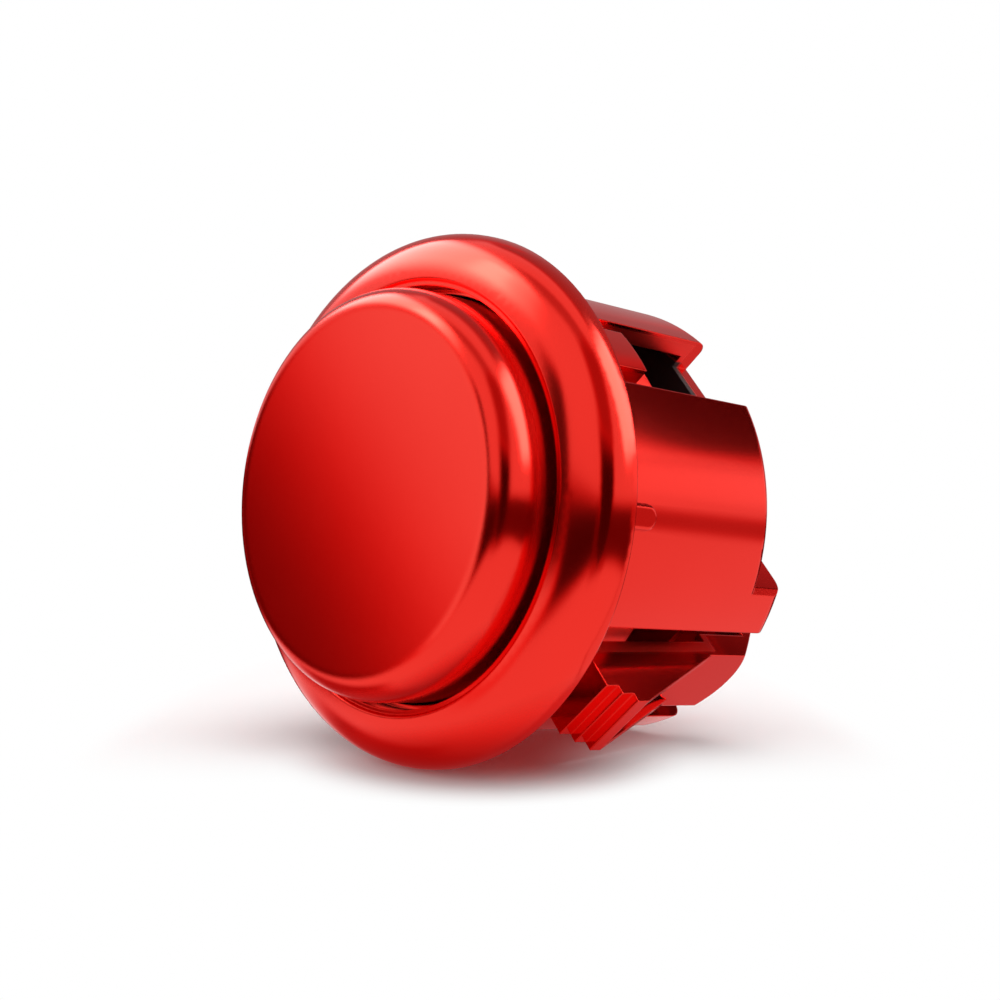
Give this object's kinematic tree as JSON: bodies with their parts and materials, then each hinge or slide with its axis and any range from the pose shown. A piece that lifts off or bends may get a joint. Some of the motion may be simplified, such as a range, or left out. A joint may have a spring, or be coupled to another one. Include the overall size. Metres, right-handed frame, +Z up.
{
  "type": "arcade push button",
  "caption": "Round snap-in arcade push button with a domed rim, a wide flat plunger, stepped snap tabs for the panel and blade terminals behind.",
  "frame": {"origin": "centre of the panel hole, on the panel's front face, where the rim's underside seats", "axes": "+Y along the button's axis from the panel face to the rear, so that the plunger faces -Y; +Z up; the snap tabs lie on the diagonal between +X and -Z"},
  "size_m": [0.034, 0.0311, 0.034],
  "materials": {
    "plated_shell": "metallic red plating on moulded plastic",
    "switch_plastic": "moulded black plastic",
    "stem_plastic": "self-lubricating natural plastic",
    "spring_steel": "drawn spring wire",
    "contact_brass": "stamped strip",
    "terminal_brass": "tinned strip"
  },
  "bodies": {
    "body": {"housing": "plated_shell", "switch_case": "switch_plastic", "switch_cover": "switch_plastic", "return_spring": "spring_steel", "fixed_contact": "contact_brass", "leaf_carrier": "contact_brass", "fixed_point": "contact_brass", "terminal_a": "terminal_brass", "terminal_b": "terminal_brass"},
    "plunger": {"plunger": "plated_shell", "switch_stem": "stem_plastic"},
    "leaf": {"contact_leaf": "contact_brass", "leaf_point": "contact_brass"}
  },
  "joints": [
    {"name": "plunger_press", "type": "slide", "parent": "body", "child": "plunger", "axis": [0, 1, 0], "range_m": [0, 0.003], "stiffness_N_per_m": 100, "springref_m": -0.0035, "deforming": ["return_spring"]},
    {"name": "leaf_swing", "type": "hinge", "parent": "body", "child": "leaf", "pos_m": [-0.00422, 0.01295, 0], "axis": [0, 0, -1], "range_deg": [0, 4.8]}
  ],
  "couplings": [
    {"joint": "leaf_swing", "follows": "plunger_press", "rad_per_m": 27.92}
  ]
}
